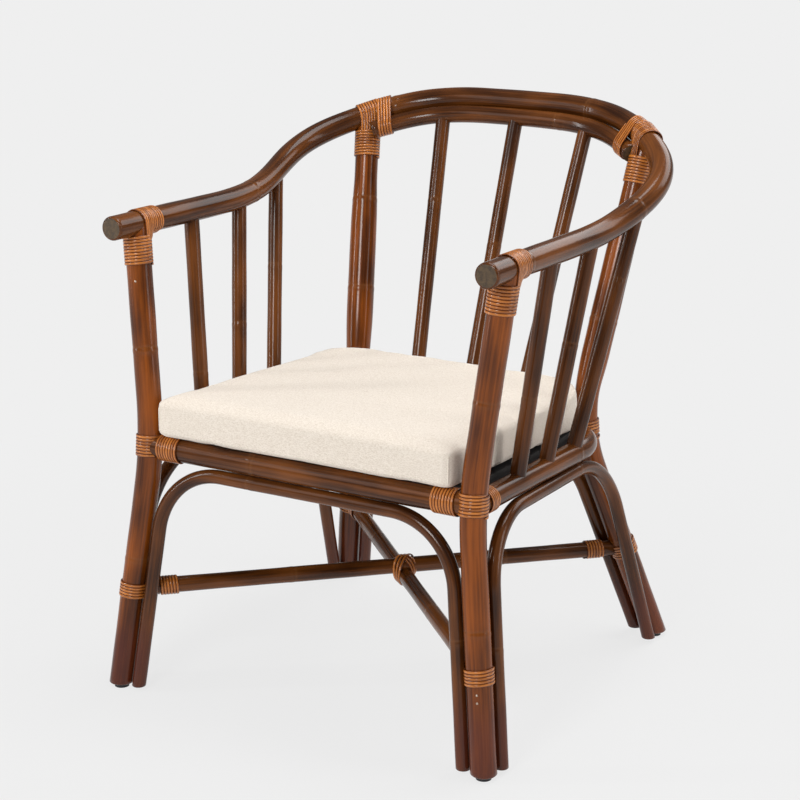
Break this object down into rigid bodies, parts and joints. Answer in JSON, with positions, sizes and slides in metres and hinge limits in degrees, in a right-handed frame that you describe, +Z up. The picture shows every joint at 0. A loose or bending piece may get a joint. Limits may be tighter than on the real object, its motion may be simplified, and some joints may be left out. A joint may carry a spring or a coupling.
{
  "type": "rattan armchair",
  "caption": "Barrel-back rattan armchair: bent pole frame with peel-bound joints, spindled back and sides, arched legs, diagonal stretchers and a loose box cushion.",
  "frame": {"origin": "on the floor, under the middle of the chair's bounding box", "axes": "+Z up, front of the chair towards -Y, +X to the right seen from the front"},
  "size_m": [0.6276, 0.655, 0.7705],
  "materials": {
    "rattan_pole": "dark brown stained pole, gloss lacquer",
    "rattan_peel": "honey brown peel, gloss lacquer",
    "cushion_linen": "cream linen weave",
    "cushion_filling": "soft foam",
    "glide_rubber": "matt black"
  },
  "bodies": {
    "frame": {"arm_bindings": "rattan_peel", "arm_rail": "rattan_pole", "back_spindle_centre": "rattan_pole", "back_spindle_left": "rattan_pole", "back_spindle_right": "rattan_pole", "crest_bindings": "rattan_peel", "cross_stretcher": "rattan_pole", "crossing_binding": "rattan_peel", "front_arch": "rattan_pole", "front_post_left": "rattan_pole", "front_post_right": "rattan_pole", "front_seat_bindings": "rattan_peel", "front_seat_rail": "rattan_pole", "glide_front_left": "glide_rubber", "glide_front_right": "glide_rubber", "glide_rear_left": "glide_rubber", "glide_rear_right": "glide_rubber", "inner_back_rail": "rattan_pole", "left_arch": "rattan_pole", "left_spindle_front": "rattan_pole", "left_spindle_middle": "rattan_pole", "left_spindle_rear": "rattan_pole", "leg_bindings": "rattan_peel", "long_stretcher": "rattan_pole", "rear_arch": "rattan_pole", "rear_post_left": "rattan_pole", "rear_post_right": "rattan_pole", "rear_seat_bindings": "rattan_peel", "right_arch": "rattan_pole", "right_spindle_front": "rattan_pole", "right_spindle_middle": "rattan_pole", "right_spindle_rear": "rattan_pole", "seat_hoop": "rattan_pole", "seat_slat_1": "rattan_pole", "seat_slat_2": "rattan_pole", "seat_slat_3": "rattan_pole", "seat_slat_4": "rattan_pole", "seat_slat_5": "rattan_pole", "stretcher_bindings": "rattan_peel"},
    "cushion": {"cushion_cover": "cushion_linen", "cushion_foam": "cushion_filling"}
  },
  "joints": [
    {"name": "cushion_lift", "type": "slide", "parent": "frame", "child": "cushion", "axis": [0, 0, 1], "range_m": [0, 0.45]}
  ]
}
